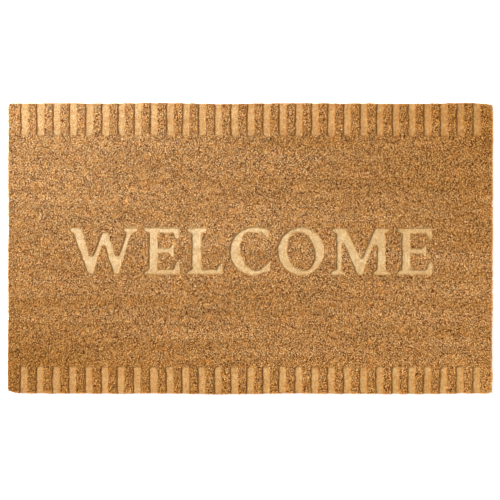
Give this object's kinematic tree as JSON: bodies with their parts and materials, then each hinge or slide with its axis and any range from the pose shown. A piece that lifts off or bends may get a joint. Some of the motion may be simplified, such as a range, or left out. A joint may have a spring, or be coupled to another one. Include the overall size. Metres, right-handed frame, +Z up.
{
  "type": "door mat",
  "caption": "Oblong coir door mat with short grooves pressed across both long edges and a plain greeting pressed into the pile, on a flexible backing sheet.",
  "frame": {"origin": "middle of the underside, where the mat rests on the floor", "axes": "+X along the long side, +Y away from the reader so that the greeting reads from the front edge, +Z up out of the pile"},
  "size_m": [0.762, 0.457, 0.018],
  "materials": {
    "coir": "coarse golden-brown coconut fibre standing upright, matt, with pale and dark flecks",
    "pressed_coir": "pale, smooth coconut fibre pressed flat by a heated plate, slightly shiny",
    "backing": "brown flexible vinyl with a fine leathery grain, satin"
  },
  "bodies": {
    "root": {"backing_sheet": "backing", "pile_field": "coir", "back_ribbed_border": "coir", "front_ribbed_border": "coir", "pressed_letter_1_w": "pressed_coir", "pressed_letter_2_e": "pressed_coir", "pressed_letter_3_l": "pressed_coir", "pressed_letter_4_c": "pressed_coir", "pressed_letter_5_o": "pressed_coir", "pressed_letter_6_m": "pressed_coir", "pressed_letter_7_e": "pressed_coir", "letter_o_centre": "coir"}
  },
  "joints": []
}
